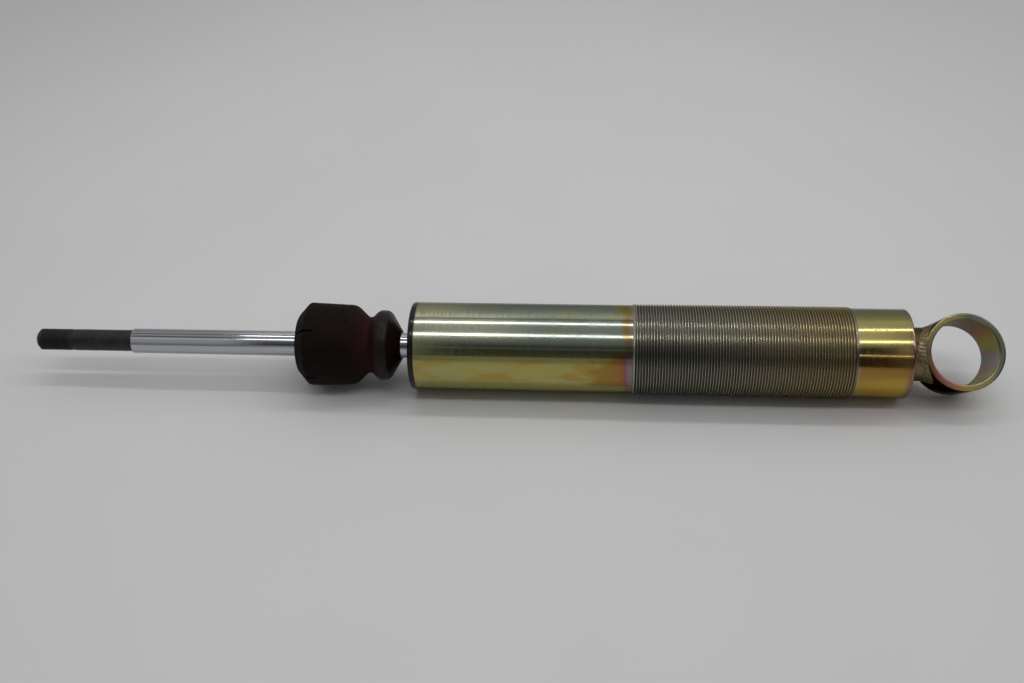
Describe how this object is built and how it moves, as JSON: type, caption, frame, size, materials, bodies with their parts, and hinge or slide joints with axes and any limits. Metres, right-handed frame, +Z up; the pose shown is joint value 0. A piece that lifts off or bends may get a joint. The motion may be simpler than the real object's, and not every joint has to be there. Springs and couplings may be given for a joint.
{
  "type": "shock absorber",
  "caption": "Monotube gas shock absorber lying on its side: threaded plated body with a welded eye, chromed rod with a black stud, and a foam bump stop.",
  "frame": {"origin": "centre of the eye's bore", "axes": "X along the damper, with the rod towards -X; +Z up as it lies on a bench, its eye rolled 44 degrees so that the ring's corner and the thread rest on the bench"},
  "size_m": [0.5319, 0.05, 0.05],
  "materials": {
    "plated_tube": "fine turned steel, zinc plated and yellow passivated",
    "plated_base": "turned steel, zinc plated and yellow passivated",
    "plated_eye": "drawn steel, zinc plated, olive and iridescent",
    "weld": "as welded under plating",
    "black_cap": "gloss black",
    "seal_rubber": "moulded",
    "spring_wire": "drawn wire",
    "guide_alloy": "turned",
    "bush_lining": "bronze with a dark lining",
    "bright_steel": "turned",
    "chromed_rod": "hard chrome, ground; stud left black",
    "bumper_rubber": "moulded",
    "valve_steel": "rolled strip",
    "sintered_iron": "sintered",
    "slide_band": "filled fluoropolymer",
    "nut_steel": "black oxide",
    "float_alloy": "turned",
    "stop_foam": "microcellular foam with a moulded skin, dusty"
  },
  "bodies": {
    "tube": {"body_tube": "plated_tube", "base_cap": "plated_base", "eye_ring": "plated_eye", "eye_weld": "weld", "end_cap": "black_cap", "wiper_seal": "seal_rubber", "outer_retaining_ring": "spring_wire", "inner_retaining_ring": "spring_wire", "rod_guide": "guide_alloy", "guide_o_ring": "seal_rubber", "guide_bush": "bush_lining", "rod_seal": "seal_rubber", "seal_washer": "bright_steel"},
    "band": {"piston_band": "slide_band"},
    "rod": {"piston_rod": "chromed_rod", "top_out_bumper": "bumper_rubber", "rebound_collar": "bright_steel", "upper_support_washer": "bright_steel", "compression_shims": "valve_steel", "piston": "sintered_iron", "rebound_shims": "valve_steel", "lower_support_washer": "bright_steel", "piston_nut": "nut_steel"},
    "float": {"floating_piston": "float_alloy", "floating_piston_band": "slide_band", "floating_piston_o_ring": "seal_rubber"},
    "stop": {"bump_stop": "stop_foam"}
  },
  "joints": [
    {"name": "rod_slide", "type": "slide", "parent": "tube", "child": "band", "axis": [1, 0, 0], "range_m": [0, 0.13]},
    {"name": "rod_turn", "type": "hinge", "parent": "band", "child": "rod", "pos_m": [-0.2385, 0, 0], "axis": [1, 0, 0], "continuous": true},
    {"name": "floating_piston_slide", "type": "slide", "parent": "tube", "child": "float", "axis": [1, 0, 0], "range_m": [0, 0.0127]},
    {"name": "bump_stop_slide", "type": "slide", "parent": "tube", "child": "stop", "axis": [1, 0, 0], "range_m": [-0.0965, 0.0055]}
  ],
  "couplings": [
    {"joint": "floating_piston_slide", "follows": "rod_slide", "ratio": 0.09679}
  ]
}
